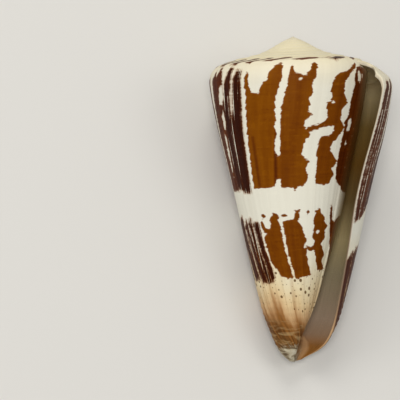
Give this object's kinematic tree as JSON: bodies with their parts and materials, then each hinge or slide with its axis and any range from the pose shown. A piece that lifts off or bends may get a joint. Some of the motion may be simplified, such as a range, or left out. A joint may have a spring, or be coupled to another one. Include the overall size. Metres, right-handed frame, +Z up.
{
  "type": "cone shell",
  "caption": "Hollow coiled cone shell with a low spire, a narrow mouth along one side and an open canal at its tip, lying mouth up.",
  "frame": {"origin": "centre of the footprint, on the surface that the shell lies on", "axes": "+Z up, +Y along the shell towards its tip, the spire towards -Y, the lip on the -X side"},
  "size_m": [0.0332, 0.0586, 0.0309],
  "materials": {
    "shell_lime": "natural shell, satin, brown flame markings on cream"
  },
  "bodies": {
    "root": {"shell": "shell_lime"}
  },
  "joints": []
}
